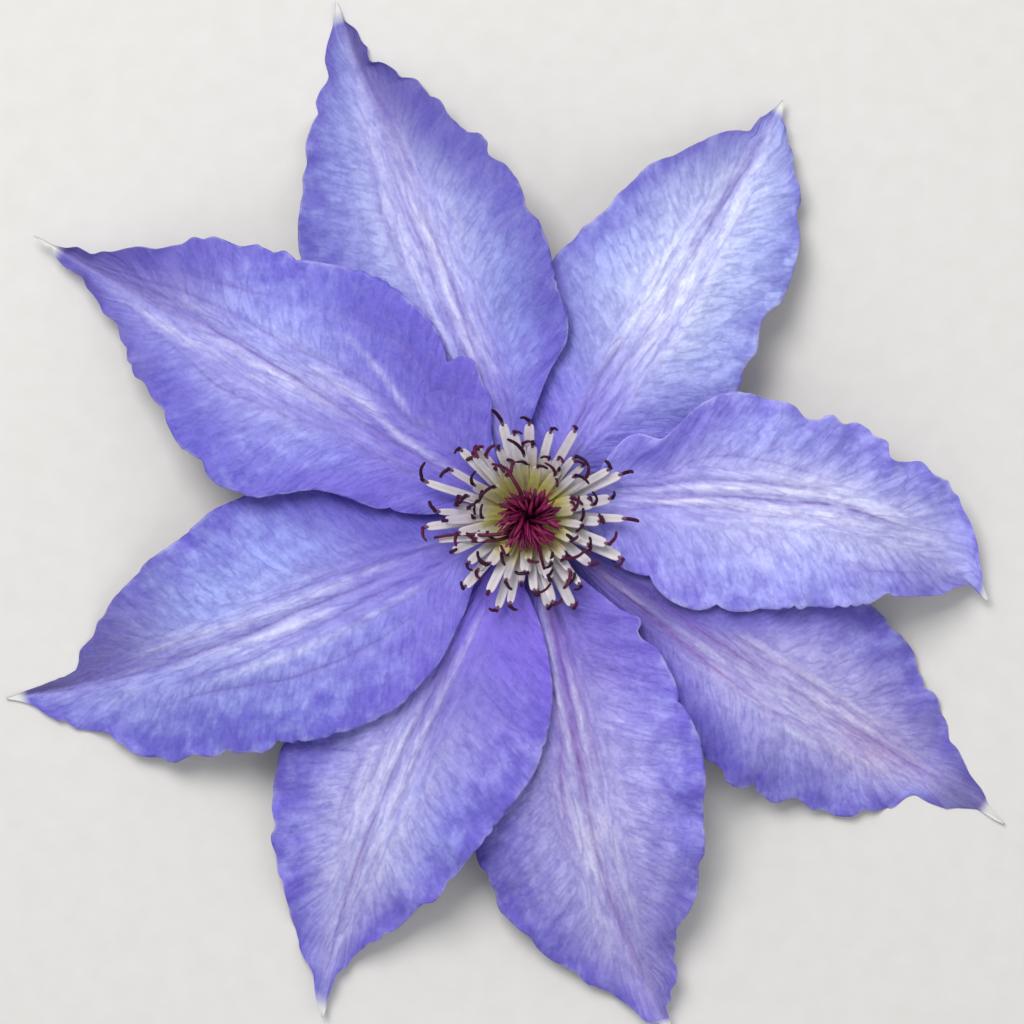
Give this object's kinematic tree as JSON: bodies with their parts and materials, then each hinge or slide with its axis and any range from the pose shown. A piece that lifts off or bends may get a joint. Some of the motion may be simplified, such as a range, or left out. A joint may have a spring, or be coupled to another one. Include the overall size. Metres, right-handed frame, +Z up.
{
  "type": "clematis flower",
  "caption": "Open large-flowered clematis bloom: overlapping pointed sepals round a boss of hooked stamens, picked with a short stalk and lying face up.",
  "frame": {"origin": "middle of the bloom's outline seen from above, on the surface that it lies on", "axes": "+Z up, out of the bloom's face; +Y towards the top of the picture and +X towards its right"},
  "size_m": [0.158, 0.1622, 0.0274],
  "materials": {
    "sepal": "soft, slightly silky petal tissue",
    "stamen": "smooth, slightly waxy",
    "style": "satin",
    "stalk": "downy green stalk"
  },
  "bodies": {
    "root": {"stalk": "stalk", "sepal_1": "sepal", "sepal_2": "sepal", "sepal_3": "sepal", "sepal_4": "sepal", "sepal_5": "sepal", "sepal_6": "sepal", "sepal_7": "sepal", "sepal_8": "sepal", "stamens": "stamen", "styles": "style"}
  },
  "joints": []
}
